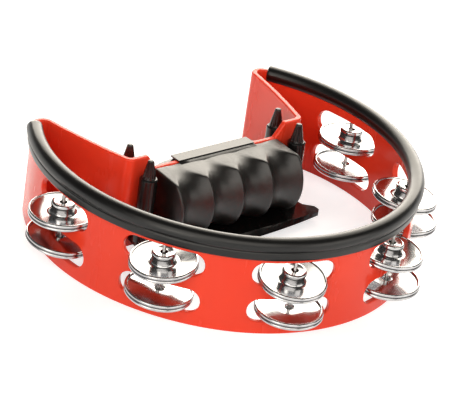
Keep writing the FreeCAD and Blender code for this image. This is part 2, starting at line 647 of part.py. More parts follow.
def make_bracket():
    """Hard bracket behind the cross wall: plate, cap over the wall, arms and the two back posts."""
    body = new_body("palm_bracket")
    plate = new_sketch(body, "bracket_plate", "XZ_Plane", Placement(Vector(0, 0, -CROSS_BACK), Rotation()))
    edge, wing = "post_place + arm_width / 2", f"{GRIP_TOP} - wing_drop"
    right = [(edge, "plate_top"), (edge, "arm_top"), ("grip_half", wing), ("cap_half + wing_drop", wing),
             ("cap_half", GRIP_TOP)]
    left = [(f"-({across})", up) for across, up in reversed(right)]
    outline(plate, right + left)
    feature(body, "Pad", plate, Length="back_plate", Reversed=True)

    cap = new_sketch(body, "cap", move=Placement(Vector(0, CROSS_FRONT, value(GRIP_TOP)), Rotation()))
    outline(cap, [("-cap_half", "0"), ("cap_half", "0"),
                  ("cap_half", "cap_depth"), ("-cap_half", "cap_depth")])
    feature(body, "Pad", cap, Length="cap_thick")

    level = Placement(Vector(0, CROSS_BACK, value("plate_top")), Rotation())
    arms = new_sketch(body, "arms", move=level)
    for near, far in (("post_place - arm_width / 2", edge), (f"-({edge})", "-(post_place - arm_width / 2)")):
        outline(arms, [(near, "0"), (far, "0"), (far, "back_post"), (near, "back_post")])
    feature(body, "Pad", arms, Length="arm_top - plate_top")
    posts = new_sketch(body, "back_posts", move=Placement(Vector(0, 0, value("plate_top")), Rotation()))
    centres = post_centres(CROSS_BACK + value("back_post"))
    discs(posts, centres, "post_radius")
    feature(body, "Pad", posts, Length="back_post_top - plate_top")
    post_holes(body, "back_post", centres, "back_post_top")
    drill_screws(body, CROSS_BACK + value("back_plate"), "screw_radius + screw_fit", "2 * back_plate")
    return body


def plate_outline(body, name, height, front):
    """Outline of the base plate at a height, its front bowed forward."""
    level = Placement(Vector(0, CROSS_FRONT, value(height)), Rotation())
    sketch = new_sketch(body, name, move=level)
    ear = "plate_waist + plate_ear"
    corner = "plate_waist + plate_ear / 2"
    right = [(corner, "-plate_front"), (ear, "-plate_front + plate_ear / 2"),
             (ear, "-ear_depth - plate_ear"), ("plate_waist", "-ear_depth"), ("plate_half", "0")]
    left = [(f"-({across})", back) for across, back in reversed(right)]
    bow = f"(({corner}) ^ 2 + {front} ^ 2) / (2 * {front})"
    outline(sketch, right + left, {len(right + left) - 1: (bow, 1)})
    return sketch


def make_base():
    """Thin plate under the finger pad, its lower edge bowed forward, with the two front posts."""
    body = new_body("grip_base")
    foot = plate_outline(body, "plate_foot", "plate_top - plate_thick", "foot_bow")
    top = plate_outline(body, "plate_face", "plate_top", "top_bow")
    feature(body, "AdditiveLoft", foot, Sections=[top], Ruled=True)
    posts = new_sketch(body, "front_posts", move=Placement(Vector(0, 0, value("plate_top")), Rotation()))
    centres = post_centres(CROSS_FRONT - value("front_post"))
    discs(posts, centres, "post_radius")
    feature(body, "Pad", posts, Length="front_post_top - plate_top")
    post_holes(body, "front_post", centres, "front_post_top")
    return body


def make_peg(name, foot):
    """A fluted peg: a shank in the post and a slender cone above it."""
    body = new_body(name)
    cone = body.newObject("PartDesign::AdditiveCone", name + "_cone")
    bind(cone, Radius1="peg_foot", Radius2="peg_tip", Height="peg_height")
    shank = body.newObject("PartDesign::AdditiveCylinder", name + "_shank")
    bind(shank, Radius="peg_shank", Height="peg_plug")
    shank.Placement = Placement(Vector(0, 0, -value("peg_plug")), Rotation())
    flute = body.newObject("PartDesign::SubtractiveCylinder", name + "_flute")
    bind(flute, Radius="flute_radius", Height="2 * peg_height")
    slant = math.degrees(math.atan(value("(peg_foot - peg_tip) / peg_height")))
    away = Vector(value("peg_foot + flute_radius - flute_bite"), 0, 0)
    turn = Rotation(Vector(0, 1, 0), -slant)
    flute.Placement = Placement(away - turn.multVec(Vector(0, 0, value("peg_height") / 2)), turn)
    flutes = body.newObject("PartDesign::PolarPattern", name + "_flutes")
    flutes.Originals = [flute]
    flutes.Axis = (origin_item(body, "Z_Axis"), [""])
    flutes.Occurrences = int(value("flute_count"))
    body.Tip = flutes
    body.Placement = Placement(foot, Rotation())
    return body


def make_pegs():
    """One peg on each of the four posts."""
    pegs = []
    for row, away, top in (("front", CROSS_FRONT - value("front_post"), "front_post_top"),
                           ("back", CROSS_BACK + value("back_post"), "back_post_top")):
        for side, centre in zip(("left", "right"), post_centres(away)):
            pegs.append(make_peg(f"peg_{row}_{side}", centre + Vector(0, 0, value(top))))
    return pegs


def make_screws():
    """The four screws that clamp both halves of the grip to the cross wall."""
    screws = []
    seat = CROSS_BACK + value("back_plate")
    for number, (side, height) in enumerate(SCREWS, 1):
        place = Vector(side * value("screw_place"), seat, value(height))
        shank = doc.addObject("Part::Cylinder", f"screw_shank_{number}")
        bind(shank, Radius="screw_radius", Height="screw_length")
        shank.Placement = Placement(place, Rotation(Vector(1, 0, 0), 90))
        head = doc.addObject("Part::Cylinder", f"screw_head_{number}")
        bind(head, Radius="screw_head", Height="screw_head_thick")
        head.Placement = Placement(place, Rotation(Vector(1, 0, 0), -90))
        screw = doc.addObject("Part::Fuse", f"screw_{number}")
        screw.Base, screw.Tool = shank, head
        screws.append(screw)
    group = doc.addObject("Part::Compound", "grip_screws")
    group.Links = screws
    return group


# ---------------------------------------------------------------------------------------------------
# Build, check and write
# ---------------------------------------------------------------------------------------------------
shell = make_shell()
drill_screws(shell, CROSS_BACK, "screw_radius + screw_fit", "2 * wall")
parts = [shell, make_bead(), make_finger_pad(), make_palm_pad(), make_bracket(), make_base(),
         *make_pegs(), make_screws(), *make_pins(), *make_jingles()]
doc.recompute()

for item in doc.Objects:
    if "Invalid" in item.State or "Error" in item.State:
        raise RuntimeError(f"{item.Name} did not recompute: {item.State}")
for part in parts:
    if part.Shape.isNull() or not part.Shape.isValid():
        raise RuntimeError(f"{part.Label} has no sound shape")

os.makedirs("parts", exist_ok=True)
for part in parts:
    part.Shape.exportStep(f"parts/{part.Label}.step")
    print(f"{part.Label:32} {len(part.Shape.Solids)} solid, {part.Shape.Volume:10.1f} mm3")
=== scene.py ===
"""Looks of the half-moon tambourine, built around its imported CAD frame.  Metres, +Z up."""
import math
import random

import bmesh
import bpy
import numpy as np
from mathutils import Matrix, Vector


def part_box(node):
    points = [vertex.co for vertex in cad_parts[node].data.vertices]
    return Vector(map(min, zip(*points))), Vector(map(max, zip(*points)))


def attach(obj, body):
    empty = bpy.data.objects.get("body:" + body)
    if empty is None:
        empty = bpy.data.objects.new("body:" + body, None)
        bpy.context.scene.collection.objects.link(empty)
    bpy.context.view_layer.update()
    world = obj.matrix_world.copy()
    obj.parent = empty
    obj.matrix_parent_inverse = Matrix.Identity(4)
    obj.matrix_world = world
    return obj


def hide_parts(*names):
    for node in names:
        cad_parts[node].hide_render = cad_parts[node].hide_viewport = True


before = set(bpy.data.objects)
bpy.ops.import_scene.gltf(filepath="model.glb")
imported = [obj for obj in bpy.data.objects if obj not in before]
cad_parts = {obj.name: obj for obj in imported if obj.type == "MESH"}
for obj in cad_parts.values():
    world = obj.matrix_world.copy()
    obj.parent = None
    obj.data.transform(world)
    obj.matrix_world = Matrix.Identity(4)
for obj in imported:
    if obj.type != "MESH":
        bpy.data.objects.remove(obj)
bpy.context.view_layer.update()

MM = 0.001
ROUND_STEPS = 96                            # segments of everything that is turned

# ---------------------------------------------------------------------------------------------
# Sizes that the pieces share with the CAD part
# ---------------------------------------------------------------------------------------------
SHELL_LOW, SHELL_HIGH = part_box("frame_shell")
HALF_WIDTH = 128.8 * MM
BOW_DEPTH = 138.9 * MM
WALL = 4.0 * MM
SHELL_HEIGHT = SHELL_HIGH.z
BLEND = math.radians(45)                    # where the bow's front arc meets its side arcs
PLAN_Y = SHELL_LOW.y + BOW_DEPTH            # the middle of the shell's plan
CROSS_FRONT = PLAN_Y + 8.0 * MM             # faces of the cross wall
CROSS_BACK = PLAN_Y + 12.0 * MM
GRIP_TOP = 57.0 * MM
PLATE_TOP = 9.0 * MM


# ---------------------------------------------------------------------------------------------
# Materials
# ---------------------------------------------------------------------------------------------
def new_material(name, color, roughness, metallic=0.0, coat=0.0, coat_roughness=0.05,
                 specular=0.5):
    """A principled material and its node tree, with the plain values on the shader's sockets."""
    material = bpy.data.materials.new(name)
    material.use_nodes = True
    tree = material.node_tree
    shader = tree.nodes["Principled BSDF"]
    shader.inputs["Base Color"].default_value = (*color, 1)
    shader.inputs["Roughness"].default_value = roughness
    shader.inputs["Metallic"].default_value = metallic
    shader.inputs["Coat Weight"].default_value = coat
    shader.inputs["Coat Roughness"].default_value = coat_roughness
    shader.inputs["Specular IOR Level"].default_value = specular
    return material, tree, shader


def noise(tree, scale, detail=3.0, roughness=0.5, stretch=None):
    """Noise over the object's own coordinates, which are the part's."""
    coordinates = tree.nodes.new("ShaderNodeTexCoord")
    mapping = tree.nodes.new("ShaderNodeMapping")
    if stretch:
        mapping.inputs["Scale"].default_value = stretch
    texture = tree.nodes.new("ShaderNodeTexNoise")
    texture.inputs["Scale"].default_value = scale
    texture.inputs["Detail"].default_value = detail
    texture.inputs["Roughness"].default_value = roughness
    tree.links.new(coordinates.outputs["Object"], mapping.inputs["Vector"])
    tree.links.new(mapping.outputs["Vector"], texture.inputs["Vector"])
    return texture.outputs["Fac"]


def spread(tree, source, low, high, start=0.35, end=0.65):
    """Map a source's range, by default a noise's middle one, to values from low to high."""
    ranged = tree.nodes.new("ShaderNodeMapRange")
    ranged.inputs["From Min"].default_value = start
    ranged.inputs["From Max"].default_value = end
    ranged.inputs["To Min"].default_value = low
    ranged.inputs["To Max"].default_value = high
    tree.links.new(source, ranged.inputs["Value"])
    return ranged.outputs["Result"]


def mix_colors(tree, factor, first, second):
    """Colour between two colours by a factor socket."""
    mix = tree.nodes.new("ShaderNodeMix")
    mix.data_type = "RGBA"
    mix.inputs["A"].default_value = (*first, 1)
    mix.inputs["B"].default_value = (*second, 1)
    tree.links.new(factor, mix.inputs["Factor"])
    return mix.outputs["Result"]


def vary_color(tree, shader, texture, first, second):
    """Let the base colour drift between two colours with a texture."""
    shade = mix_colors(tree, spread(tree, texture, 0, 1), first, second)
    tree.links.new(shade, shader.inputs["Base Color"])


def vary_roughness(tree, shader, texture, low, high):
    """Let the roughness drift between two values with a texture."""
    tree.links.new(spread(tree, texture, low, high), shader.inputs["Roughness"])


def bump(tree, shader, height, strength, distance, under=None):
    """Bump from a height socket into the shader's normal, over another bump if given."""
    node = tree.nodes.new("ShaderNodeBump")
    node.inputs["Strength"].default_value = strength
    node.inputs["Distance"].default_value = distance
    tree.links.new(height, node.inputs["Height"])
    if under:
        tree.links.new(under, node.inputs["Normal"])
    tree.links.new(node.outputs["Normal"], shader.inputs["Normal"])
    return node.outputs["Normal"]


def shell_plastic():
    """Glossy orange-red ABS: slight flow variation, faint moulding ripple, fine handling haze."""
    material, tree, shader = new_material(
        "shell_red", (0.88, 0.055, 0.022), 0.28, coat=0.06, coat_roughness=0.08, specular=0.25)
    vary_color(tree, shader, noise(tree, scale=14, detail=2),
               (0.89, 0.058, 0.024), (0.86, 0.050, 0.020))
    haze = noise(tree, scale=60, detail=4, roughness=0.6, stretch=(1, 1, 0.25))
    vary_roughness(tree, shader, haze, 0.18, 0.30)
    waves = noise(tree, scale=22, detail=1, roughness=0.4, stretch=(1, 1, 0.4))
    ripple = bump(tree, shader, waves, strength=0.15, distance=1.2 * MM)
    bump(tree, shader, noise(tree, scale=900, detail=2), strength=0.03, distance=0.1 * MM,
         under=ripple)
    return material


def bead_rubber():
    """Smooth extruded black rubber with a soft gloss."""
    material, tree, shader = new_material("bead_rubber", (0.004, 0.004, 0.004), 0.32,
                                          specular=0.42)
    vary_roughness(tree, shader, noise(tree, scale=120), 0.30, 0.34)
    bump(tree, shader, noise(tree, scale=500, detail=2), strength=0.02, distance=0.1 * MM)
    return material


def grip_rubber():
    """Fine leather-like grain of a moulded rubber grip."""
    material, tree, shader = new_material("grip_rubber", (0.007, 0.0062, 0.0055), 0.34,
                                          specular=0.65)
    vary_color(tree, shader, noise(tree, scale=90, detail=4),
               (0.005, 0.0047, 0.0045), (0.010, 0.0092, 0.0085))
    cells = tree.nodes.new("ShaderNodeTexVoronoi")
    cells.inputs["Scale"].default_value = 1400
    coordinates = tree.nodes.new("ShaderNodeTexCoord")
    tree.links.new(coordinates.outputs["Object"], cells.inputs["Vector"])
    grain = bump(tree, shader, cells.outputs["Distance"], strength=0.35, distance=0.25 * MM)
    bump(tree, shader, noise(tree, scale=260), strength=0.12, distance=0.4 * MM, under=grain)
    vary_roughness(tree, shader, noise(tree, scale=60), 0.28, 0.40)
    return material


def fitting_plastic():
    """Moulded black plastic of the plate, bracket and pegs."""
    material, tree, shader = new_material("fitting_black", (0.006, 0.0055, 0.0055), 0.2)
    vary_roughness(tree, shader, noise(tree, scale=80), 0.14, 0.24)
    bump(tree, shader, noise(tree, scale=500, detail=2), strength=0.05, distance=0.1 * MM)
    return material


def jingle_steel():
    """Bright nickel-plated steel, a little wavy from the press, with faint rubbed patches."""
    material, tree, shader = new_material("jingle_chrome", (0.51, 0.51, 0.52), 0.18, metallic=1.0)
    vary_color(tree, shader, noise(tree, scale=160, detail=4),
               (0.55, 0.55, 0.56), (0.46, 0.46, 0.47))
    vary_roughness(tree, shader, noise(tree, scale=220, detail=4), 0.15, 0.20)
    bump(tree, shader, noise(tree, scale=45, detail=0), strength=0.10, distance=1.5 * MM)
    return material


def pin_steel():
    """Drawn steel wire with fine streaks along its length."""
    material, tree, shader = new_material("pin_steel", (0.62, 0.61, 0.60), 0.22, metallic=1.0)
    streaks = noise(tree, scale=900, roughness=0.6, stretch=(1, 1, 0.03))
    vary_roughness(tree, shader, streaks, 0.15, 0.32)
    bump(tree, shader, streaks, strength=0.1, distance=0.1 * MM)
    return material


# ---------------------------------------------------------------------------------------------
# Helpers that build pieces
# ---------------------------------------------------------------------------------------------
def new_piece(name, vertices, faces, material, slot):
    """A smooth closed mesh object, facing outwards, from vertices in the part's frame."""
    mesh = bpy.data.meshes.new(name)
    mesh.from_pydata([tuple(v) for v in vertices], [], faces)
    mesh.validate()
    mesh.materials.append(material)
    mesh.polygons.foreach_set("use_smooth", [True] * len(mesh.polygons))
    piece = bpy.data.objects.new(name, mesh)
    bpy.context.scene.collection.objects.link(piece)
    work = bmesh.new()
    work.from_mesh(mesh)
    bmesh.ops.recalc_face_normals(work, faces=work.faces)
    work.to_mesh(mesh)
    work.free()
    return piece


def grid_faces(rows, columns, closed_rows=False):
    """Quads of a grid of closed rows, whose vertices are listed row by row."""
    faces = []
    for i in range(rows if closed_rows else rows - 1):
        for j in range(columns):
            k, m = (i + 1) % rows, (j + 1) % columns
            faces.append((i * columns + j, i * columns + m, k * columns + m, k * columns + j))
    return faces


def loft_rows(rows):
    """Vertices and faces of equal closed loops one after another, capped at both ends."""
    count = len(rows[0])
    vertices = [v for row in rows for v in row]
    faces = grid_faces(len(rows), count)
    faces += [tuple(range(count)), tuple(range((len(rows) - 1) * count, len(rows) * count))]
    return vertices, faces


def lathe(profile):
    """Vertices and faces of a closed profile of (radius, height) pairs, turned about Z."""
    vertices = []
    for r, h in profile:
        for k in range(ROUND_STEPS):
            turn = 2 * math.pi * k / ROUND_STEPS
            vertices.append((r * math.cos(turn), r * math.sin(turn), h))
    return vertices, grid_faces(len(profile), ROUND_STEPS, closed_rows=True)


def arc_points(centre, radius, start, end, count):
    """Points in a plane along an arc between two angles in degrees."""
    return [(centre[0] + radius * math.cos(a), centre[1] + radius * math.sin(a))
            for a in np.radians(np.linspace(start, end, count))]


def swept(centre, start, end, count):
    """Points on the arc about a centre from one point to another, the short way round."""
    first, last = start - centre, end - centre
    begin = math.atan2(first.y, first.x)
    turn = (math.atan2(last.y, last.x) - begin + math.pi) % (2 * math.pi) - math.pi
    angles = [begin + turn * k / (count - 1) for k in range(count)]
    return [(centre.x + first.length * math.cos(a), centre.y + first.length * math.sin(a))
            for a in angles]


def bulged(start, end, radius, count=24):
    """Points of an arc from start to end that bulges to the right of the way it runs."""
    a, b = Vector(start), Vector(end)
    half = (b - a) / 2
    rise = math.sqrt(radius ** 2 - half.length_squared)
    left = Vector((-half.y, half.x)).normalized()
    return swept(a + half + left * rise, a, b, count)


def rounded_loop(corners, count):
    """Closed loop from (x, y, radius) corners, each rounded to its radius with count points."""
    points = []
    for k, (x, y, radius) in enumerate(corners):
        here = Vector((x, y))
        back = (Vector(corners[k - 1][:2]) - here).normalized()
        ahead = (Vector(corners[(k + 1) % len(corners)][:2]) - here).normalized()
        half = back.angle(ahead) / 2
        reach = radius / math.tan(half)
        centre = here + (back + ahead).normalized() * radius / math.sin(half)
        points += swept(centre, here + back * reach, here + ahead * reach, count)
    return points


def even_points(line, spacing, closed=False):
    """Evenly spaced points along a line, or round a closed loop."""
    line = np.array(line + line[:1] if closed else line)
    along = np.concatenate([[0], np.cumsum(np.hypot(*np.diff(line, axis=0).T))])
    places = np.linspace(0, along[-1], int(along[-1] / spacing), endpoint=not closed)
    return np.column_stack([np.interp(places, along, line[:, k]) for k in (0, 1)])


def bell(reach):
    """Steps to either side of a point, and weights that fall off over about reach of them."""
    steps = np.arange(-3 * reach, 3 * reach + 1)
    weights = np.exp(-0.5 * (steps / reach) ** 2)
    return steps, weights / weights.sum()


def soft_loop(loop, spacing, reach=2):
    """A closed loop, evenly spaced and with its corners eased."""
    even = even_points(loop, spacing, closed=True)
    return sum(w * np.roll(even, -k, axis=0) for k, w in zip(*bell(reach)))


def soft_line(line, spacing, reach=2):
    """An open line, evenly spaced and with its corners eased but its ends kept."""
    even = even_points(line, spacing)
    before = even[0] * 2 - even[reach * 3:0:-1]
    after = even[-1] * 2 - even[-2:-reach * 3 - 2:-1]
    padded = np.vstack([before, even, after])
    return np.column_stack([np.convolve(padded[:, k], bell(reach)[1], "valid") for k in (0, 1)])


def lower_of(first, second, blend):
    """The lower of two heights, rounded where they cross."""
    return -blend * np.logaddexp(-np.asarray(first) / blend, -np.asarray(second) / blend)


def end_rounding(depth, radius):
    """How far a surface draws in at a depth from an end that is rounded to the radius."""
    left = np.clip(radius - depth, 0, radius)
    return radius - np.sqrt(radius ** 2 - left ** 2)


def end_spaced(half, count, edge):
    """Places from -half to half, with a few more close to both ends for their rounding."""
    close = edge * np.array([0, 0.06, 0.18, 0.36, 0.6])
    middle = np.linspace(-half + edge, half - edge, count)
    return np.concatenate([-half + close, middle, half - close[::-1]])


# ---------------------------------------------------------------------------------------------
# The shell's plan: a front arc and two side arcs, tangent where they meet
# ---------------------------------------------------------------------------------------------
DEEPER = (BOW_DEPTH - HALF_WIDTH) / (math.sin(BLEND) + math.cos(BLEND) - 1)
FRONT_CENTRE_Y = PLAN_Y - DEEPER * math.cos(BLEND)
SIDE_CENTRE_X = -DEEPER * math.sin(BLEND)
FRONT_ARC = BOW_DEPTH - WALL / 2 - DEEPER * math.cos(BLEND)
SIDE_ARC = HALF_WIDTH - WALL / 2 - SIDE_CENTRE_X


def bow_place(angle):
    """Mid-wall point of the bow at an angle from -Y, and the way outwards there."""
    out = Vector((math.sin(angle), -math.cos(angle), 0))
    if abs(angle) <= BLEND:
        return Vector((0, FRONT_CENTRE_Y, 0)) + out * FRONT_ARC, out
    return Vector((math.copysign(1, angle) * SIDE_CENTRE_X, PLAN_Y, 0)) + out * SIDE_ARC, out


# ---------------------------------------------------------------------------------------------
# Rim bead: a soft roll over the bow's top edge, with a creased outer skirt
# ---------------------------------------------------------------------------------------------
BEAD_END = math.radians(123.2)              # the angle from -Y to which the bead runs
BEAD_STEPS = 301
BEAD_CORE = 2.5 * MM                        # the roll's middle below the shell's top
BEAD_ROLL = 5.6 * MM
ROLL_START, ROLL_END, ROLL_POINTS = -20, 221, 48
CUT_LENGTH = 0.35 * MM                      # rounding of the bead's cut ends, along and inwards
CUT_INSET = 0.3 * MM
# both skirts in millimetres, as (outwards, up) from the mid-wall at the shell's top
OUTER_SKIRT = [(2.1, -11.85), (3.3, -11.9), (3.85, -11.7), (4.12, -11.2), (4.25, -10.0),
               (4.45, -8.4), (4.62, -7.3), (4.6, -6.85), (4.42, -6.5), (4.2, -6.25),
               (4.12, -6.0), (4.2, -5.7), (4.5, -5.35), (4.95, -4.9)]
INNER_SKIRT = [(-3.9, -6.6), (-3.78, -6.95), (-3.3, -7.1), (-2.6, -7.05), (-2.1, -6.9),
               (-2.08, 0.06), (2.08, 0.06), (2.08, -6.9)]


def bead_profile():
    """The bead's closed section: up the outer skirt, over the roll, down the inner skirt."""
    roll = arc_points((0, -BEAD_CORE), BEAD_ROLL, ROLL_START, ROLL_END, ROLL_POINTS)
    outer, inner = ([(x * MM, z * MM) for x, z in skirt] for skirt in (OUTER_SKIRT, INNER_SKIRT))
    return outer + roll + inner


def make_bead(material):
    """Sweep the bead's section along the bow, with square cut ends a little rounded."""
    profile = [Vector(point) for point in bead_profile()]
    middle = Vector((0, -BEAD_CORE))
    pinch = CUT_LENGTH / (FRONT_ARC * BEAD_END)
    turns = np.concatenate([
        [-1, -1 + pinch * 0.4], np.linspace(-1 + 1.2 * pinch, 1 - 1.2 * pinch, BEAD_STEPS),
        [1 - pinch * 0.4, 1]])
    rows = []
    for turn in turns:
        foot, out = bow_place(turn * BEAD_END)
        inset = max(0, 1 - (1 - abs(turn)) / pinch) * CUT_INSET
        spots = [point - (point - middle).normalized() * inset for point in profile]
        rows.append([foot + out * spot.x + Vector((0, 0, SHELL_HEIGHT + spot.y))
                     for spot in spots])
    piece = new_piece("rim_bead_roll", *loft_rows(rows), material, "bead")
    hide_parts("rim_bead")
    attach(piece, "frame")


# ---------------------------------------------------------------------------------------------
# Jingles: pressed discs with a rolled rim, and a dished hub with a ring round it
# ---------------------------------------------------------------------------------------------
RIM_ROLL = 1.15                             # the sizes of a jingle's section are in millimetres
JINGLE_RADIUS = 23.0
METAL = 0.8
HUB_HEIGHT = 8.3
HUB_HOLE = 2.6
HUB_FOOT = 2.6                              # how far the hub's foot spreads into the web
SHEET_SPACING = 0.22
# hub radius, the web's underside at hub and rim, and whether the back is closed round the pin
JINGLE_KINDS = {"cup": (8.0, -0.8, 0.9, False), "tray": (6.6, 0.7, 1.2, True)}
RIM_BAND = 0.02 * MM                        # what counts as the CAD disc's widest ring
SPIN_SEED = 7


def jingle_profile(hub, web_hub, web_rim, closed_back):
    """Closed section of a jingle, as (radius, height) pairs with the rim's foot at height 0."""
    half, top = METAL / 2, HUB_HEIGHT
    at_hub, roll_middle = web_hub + METAL / 2, JINGLE_RADIUS - RIM_ROLL
    sheet = soft_line([
        (roll_middle - 0.85, web_rim + half), (hub + HUB_FOOT, at_hub),         # web
        (hub + 0.9, at_hub + 0.25), (hub - 0.1, at_hub + 1.1),                  # hub's foot
        (hub - half, at_hub + 2.4), (hub - half, top - 2.8),                    # hub's side
        (hub - half + 0.4, top - 2.2), (hub - half, top - 1.6),                 # ring round it
        (hub - half + 0.2, top - 0.9), (hub - 1.2, top - half),                 # shoulder
        (hub - 2.8, top - half - 0.5), (HUB_HOLE + 0.6, top - half - 0.85),     # dished top
        (HUB_HOLE, top - half - 0.9)], SHEET_SPACING)
    ahead = np.gradient(sheet, axis=0)
    ahead /= np.hypot(*ahead.T)[:, None]
    side = np.column_stack([ahead[:, 1], -ahead[:, 0]]) * half
    lower, upper = sheet + side, sheet - side
    if lower[0, 1] > upper[0, 1]:
        lower, upper = upper, lower
    begin = math.degrees(math.asin((web_rim + METAL) / RIM_ROLL - 1))
    end = math.degrees(math.asin(web_rim / RIM_ROLL - 1))
    roll = arc_points((roll_middle, RIM_ROLL), RIM_ROLL, 180 - begin, -180 - end, 30)
    if closed_back:
        dimple = [(HUB_HOLE + 1.6, web_hub), (HUB_HOLE + 0.7, web_hub + 0.15),
                  (HUB_HOLE + 0.15, web_hub + 0.6), (HUB_HOLE, top - METAL - 1.2)]
        lower = np.vstack([lower[lower[:, 0] > hub + HUB_FOOT], dimple])
    outline = list(map(tuple, upper[::-1])) + roll[1:-1] + list(map(tuple, lower))
    return [(x * MM, z * MM) for x, z in outline]


def jingle_frame(node):
    """Matrix from a jingle's own section, axis +Z, to where its CAD disc is at rest."""
    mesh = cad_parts[node].data
    mesh.calc_loop_triangles()
    places = np.array([v.co for v in mesh.vertices])
    corners = places[np.array([t.vertices for t in mesh.loop_triangles])]
    sides = corners[:, 1:] - corners[:, :1]
    areas = np.linalg.norm(np.cross(sides[:, 0], sides[:, 1]), axis=1)
    centre = (corners.mean(axis=1) * areas[:, None]).sum(axis=0) / areas.sum()
    # the disc's axis is the way in which its surface is spread least
    arms = corners - centre
    sums = arms.sum(axis=1)
    spreads = np.einsum("t,ti,tj->ij", areas, sums, sums)
    spreads += np.einsum("t,tci,tcj->ij", areas, arms, arms)
    axis = np.linalg.eigh(spreads)[1][:, 0]
    # the widest ring is the middle of the rim, and the hub rises from it
    heights = (places - centre) @ axis
    away = np.linalg.norm(places - centre - np.outer(heights, axis), axis=1)
    level = heights[away > away.max() - RIM_BAND].mean()
    if abs(heights.max() - level) < abs(heights.min() - level):
        axis, level = -axis, -level
    up = Vector(axis)
    turn = Vector((0, 0, 1)).rotation_difference(up).to_matrix().to_4x4()
    return Matrix.Translation(Vector(centre) + up * (level - RIM_ROLL * MM)) @ turn


def make_jingles(material):
    """Turn every jingle's section about the axis of its CAD disc."""
    shapes = {kind: jingle_profile(*sizes) for kind, sizes in JINGLE_KINDS.items()}
    spin = random.Random(SPIN_SEED)
    for node in [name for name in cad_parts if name.startswith("jingle_")]:
        vertices, faces = lathe(shapes[node.rsplit("_", 1)[1]])
        place = jingle_frame(node) @ Matrix.Rotation(spin.uniform(0, 2 * math.pi), 4, "Z")
        piece = new_piece(node + "_disc", [place @ Vector(v) for v in vertices], faces,
                          material, "jingle")
        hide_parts(node)
        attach(piece, node)


# ---------------------------------------------------------------------------------------------
# Finger pad: a ridged rubber half-barrel, with a thin lip over the cross wall's top
# ---------------------------------------------------------------------------------------------
GRIP_HALF = 54.0 * MM
FINGER_PITCH = 26.0 * MM
FINGERS = (-1.5, -0.5, 0.5, 1.5)            # the grooves' places along the grip, in pitches
GROOVE_CORE = (-4.8 * MM, 33.6 * MM)        # the grooves' middle, past the cross wall and up
GROOVE_FLOOR = 23.4 * MM
GROOVE_RADIUS = 16.5 * MM
RIDGE_EASE = 0.45 * MM                      # softness of the edges between groove and ridge
RIDGE_PROUD = 0.05 * MM                     # how far the ungrooved skin stands out ...
RIDGE_CLEAR = 3.0 * MM                      # ... where it lies this far below a groove's arc
# the pad's section past the cross wall: top's edge, front and foot, and the arcs between them
PAD_REACH = (-25.0 * MM, 55.8 * MM)
PAD_FRONT = (-34.3 * MM, 34.0 * MM)
PAD_FOOT = (-16.0 * MM, PLATE_TOP)
PAD_UPPER_ARC, PAD_LOWER_ARC = 30.2 * MM, 26.2 * MM
PAD_SPACING = 0.45 * MM
PAD_SLICES = 190
PAD_END = 1.6 * MM                          # rounding of the pad's ends
PAD_SEAT = 1.2 * MM                         # over this distance from wall and plate it fades
CAP_HALF = 33.0 * MM
LIP_THICK = 0.42 * MM
LIP_ROOT, LIP_EDGE = -3.5 * MM, -1.0 * MM   # how far forward the lip starts, below and on top
LIP_SINK = 0.1 * MM
LIP_LOW_ROUND, LIP_TOP_ROUND = 0.03 * MM, 0.15 * MM


def make_finger_pad(material):
    """Ridged pad: in each slice, the soft section or the groove's arc, whichever lies lower."""
    section = [(0, PLATE_TOP), (0, GRIP_TOP)] + bulged(PAD_REACH, PAD_FRONT, PAD_UPPER_ARC)
    section += bulged(PAD_FRONT, PAD_FOOT, PAD_LOWER_ARC)
    loop = soft_loop(section, PAD_SPACING)
    spokes = loop - np.array(GROOVE_CORE)
    distance = np.hypot(*spokes.T)
    ways = spokes / distance[:, None]
    free = np.clip(-loop[:, 0] / PAD_SEAT, 0, 1)
    free = free * np.clip((loop[:, 1] - PLATE_TOP) / PAD_SEAT, 0, 1)
    rows = []
    for x in end_spaced(GRIP_HALF, PAD_SLICES, PAD_END):
        across = min(abs(x - k * FINGER_PITCH) for k in FINGERS)
        rise = math.sqrt(max(0, GROOVE_RADIUS ** 2 - across ** 2))
        bowl = GROOVE_FLOOR + GROOVE_RADIUS - rise
        radius = lower_of(distance, bowl, RIDGE_EASE)
        radius = radius + RIDGE_PROUD * (distance < bowl - RIDGE_CLEAR)
        radius = radius - end_rounding(GRIP_HALF - abs(x), PAD_END) * free
        slice_points = np.array(GROOVE_CORE) + ways * radius[:, None]
        rows.append([(x, CROSS_FRONT + y, z) for y, z in slice_points])
    piece = new_piece("finger_grip", *loft_rows(rows), material, "grip")
    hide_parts("finger_pad")
    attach(piece, "frame")


def make_grip_lip(material):
    """Thin lip of the finger pad, lapping over the cross wall as far as the bracket's cap."""
    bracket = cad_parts["palm_bracket"].data.vertices
    reach = min(v.co.y for v in bracket if v.co.z > GRIP_TOP + LIP_THICK) - CROSS_FRONT
    section = rounded_loop([
        (LIP_ROOT, -LIP_SINK, LIP_LOW_ROUND), (reach, -LIP_SINK, LIP_LOW_ROUND),
        (reach, LIP_THICK, LIP_TOP_ROUND), (LIP_EDGE, LIP_THICK, LIP_TOP_ROUND)], 4)
    rows = [[(x, CROSS_FRONT + y, GRIP_TOP + z) for y, z in section]
            for x in np.linspace(-CAP_HALF, CAP_HALF, 9)]
    piece = new_piece("finger_grip_lip", *loft_rows(rows), material, "grip")
    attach(piece, "frame")


